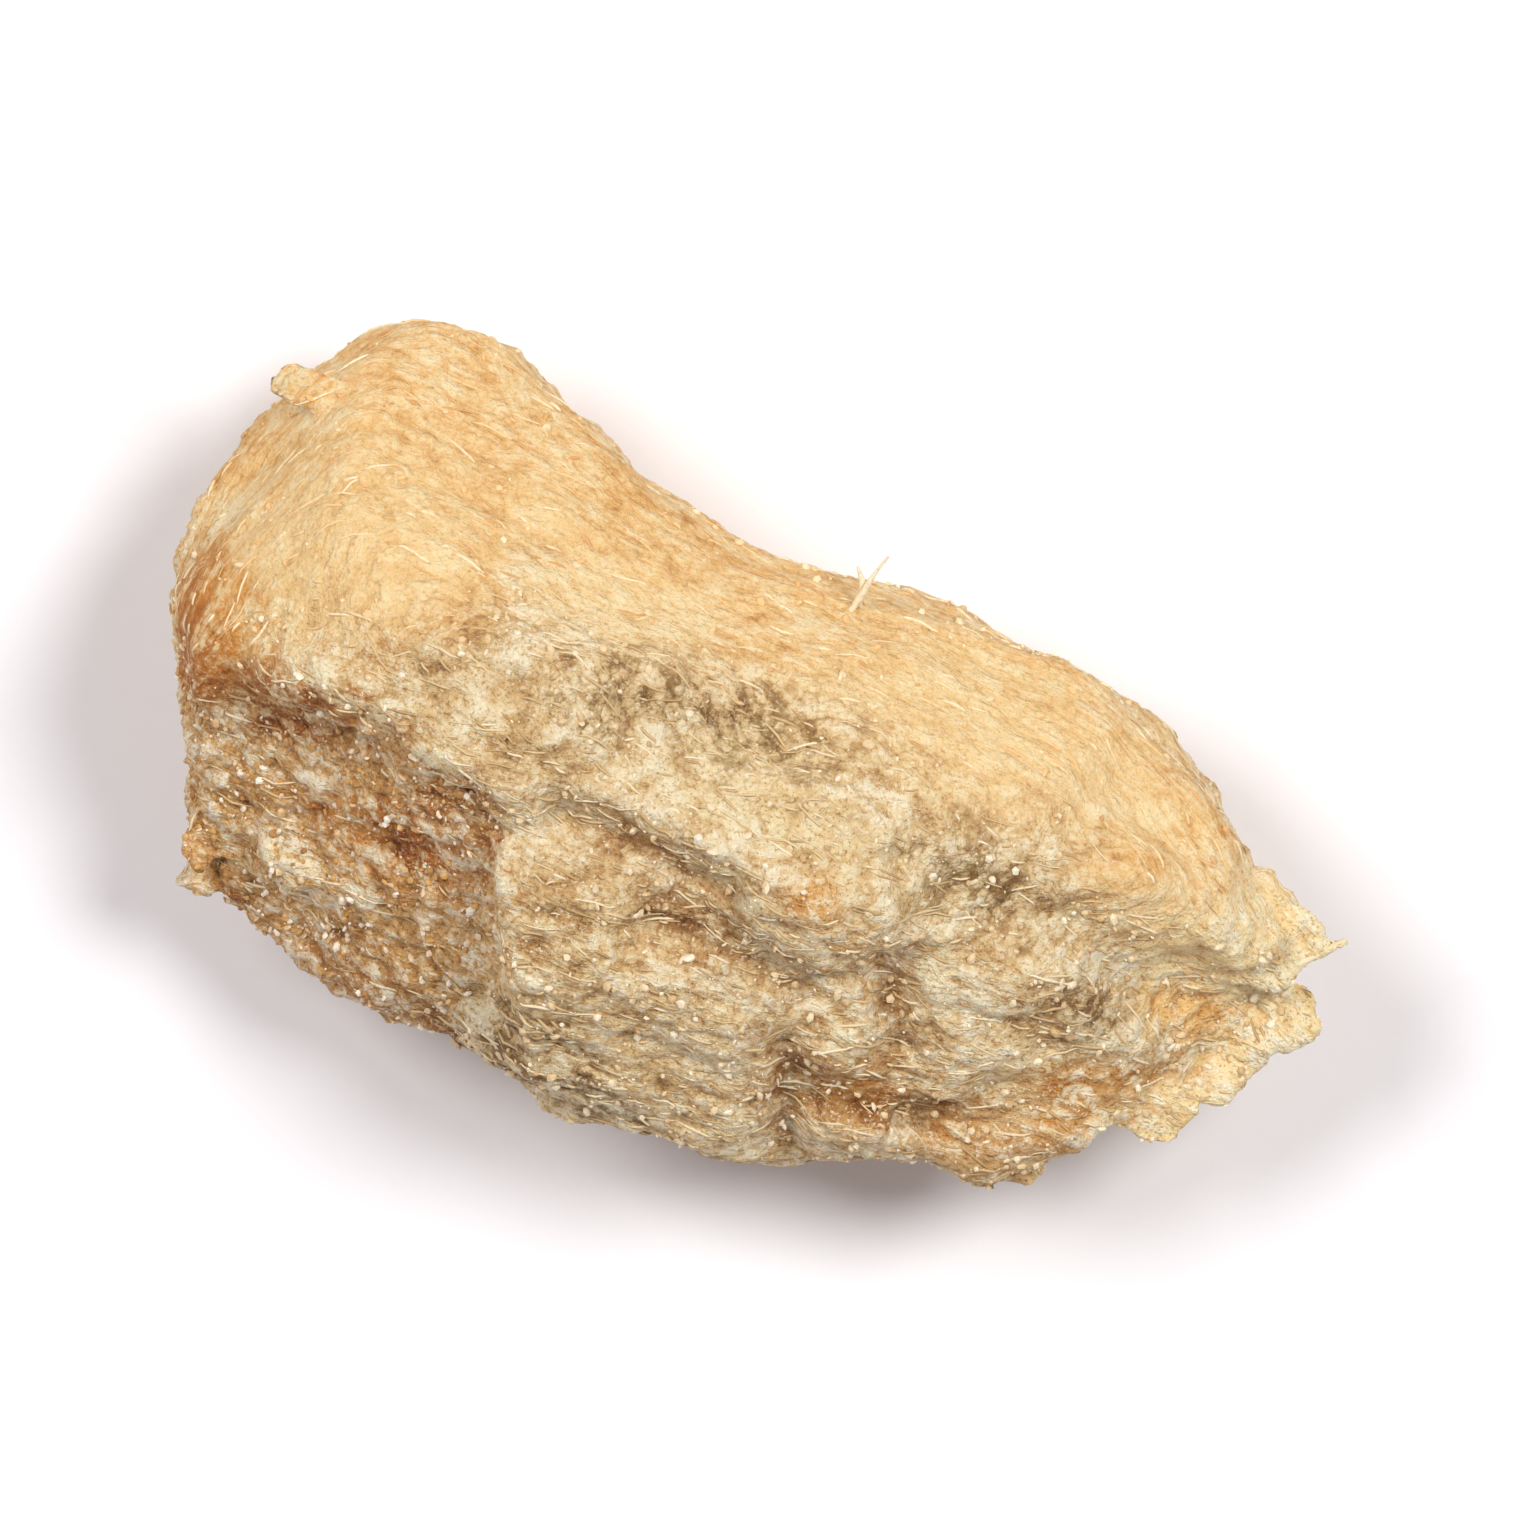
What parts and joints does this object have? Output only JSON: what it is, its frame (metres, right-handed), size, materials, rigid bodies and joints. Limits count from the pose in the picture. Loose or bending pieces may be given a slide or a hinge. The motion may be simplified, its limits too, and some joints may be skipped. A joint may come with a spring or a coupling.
{
  "type": "dried ginger root",
  "caption": "Small irregular chip of dried, cut and sifted ginger root, with a smooth knob, wrinkled skin, granular cut faces and a splintered tip.",
  "frame": {"origin": "on the ground, under the middle of the box round the chip", "axes": "+X to the right and +Y up as the chip is seen from straight above, with the knob at upper left and the splintered tip at lower right; +Z up from the flat underside that it rests on"},
  "size_m": [0.009, 0.0066, 0.0042],
  "materials": {
    "ginger_root": "matt, powdery and fibrous, amber cream on the smooth skin and grey brown on the wrinkled skin"
  },
  "bodies": {
    "root": {"ginger_root_chip": "ginger_root"}
  },
  "joints": []
}
